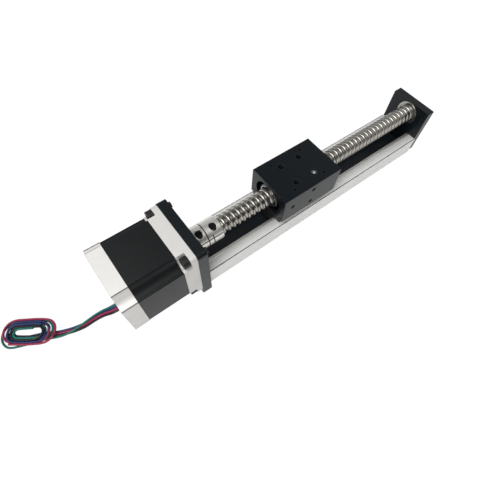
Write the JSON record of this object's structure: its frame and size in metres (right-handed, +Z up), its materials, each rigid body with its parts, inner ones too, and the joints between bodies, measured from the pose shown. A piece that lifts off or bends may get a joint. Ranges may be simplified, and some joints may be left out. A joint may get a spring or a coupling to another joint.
{
  "type": "ball screw linear module",
  "caption": "Linear module: stepper motor, clamp coupling and ball screw driving a carriage between rods set in an aluminium base.",
  "frame": {"origin": "centre of the base profile's bottom face", "axes": "+X along the screw away from the motor, +Z up, -Y towards the side with the carriage's tapped side holes"},
  "size_m": [0.4204, 0.0685, 0.065],
  "materials": {
    "aluminium_profile": "satin",
    "hardened_steel": "ground",
    "black_anodised": "satin anodised",
    "cast_aluminium": "as cast, lightly machined",
    "black_lamination": "satin",
    "black_screw": "black oxide",
    "coupling_aluminium": "turned",
    "screw_steel": "ground",
    "bearing_steel": "polished",
    "nut_steel": "ground",
    "black_plastic": "matt",
    "grey_rubber": "matt",
    "wire_green": "semi-gloss",
    "wire_blue": "semi-gloss",
    "wire_red": "semi-gloss",
    "wire_black": "semi-gloss"
  },
  "bodies": {
    "base": {"base_profile": "aluminium_profile", "guide_rod_near": "hardened_steel", "guide_rod_far": "hardened_steel", "front_plate": "black_anodised", "end_plate": "black_anodised", "motor_rear_cap": "cast_aluminium", "motor_stack": "black_lamination", "motor_front_bell": "cast_aluminium", "motor_screws": "black_screw", "plate_screws": "black_screw", "end_bearing_outer": "bearing_steel", "motor_case_screws": "black_screw", "motor_grommet": "grey_rubber", "lead_wire_green": "wire_green", "lead_wire_blue": "wire_blue", "lead_wire_red": "wire_red", "lead_wire_black": "wire_black", "lead_hank": "wire_black"},
    "screw": {"motor_shaft": "hardened_steel", "coupling": "coupling_aluminium", "coupling_screws": "black_screw", "ball_screw": "screw_steel", "end_bearing_inner": "bearing_steel", "end_retaining_ring": "black_screw"},
    "carriage": {"carriage_block": "black_anodised", "ball_nut": "nut_steel", "nut_set_screw": "screw_steel", "slider_block": "black_anodised", "slider_caps": "black_plastic"}
  },
  "joints": [
    {"name": "screw_spin", "type": "hinge", "parent": "base", "child": "screw", "pos_m": [0, 0, 0.0365], "axis": [1, 0, 0], "range_deg": [-7345, 3457]},
    {"name": "carriage_slide", "type": "slide", "parent": "base", "child": "carriage", "axis": [1, 0, 0], "range_m": [-0.048, 0.102]}
  ],
  "couplings": [
    {"joint": "screw_spin", "follows": "carriage_slide", "rad_per_m": -1256.6}
  ]
}
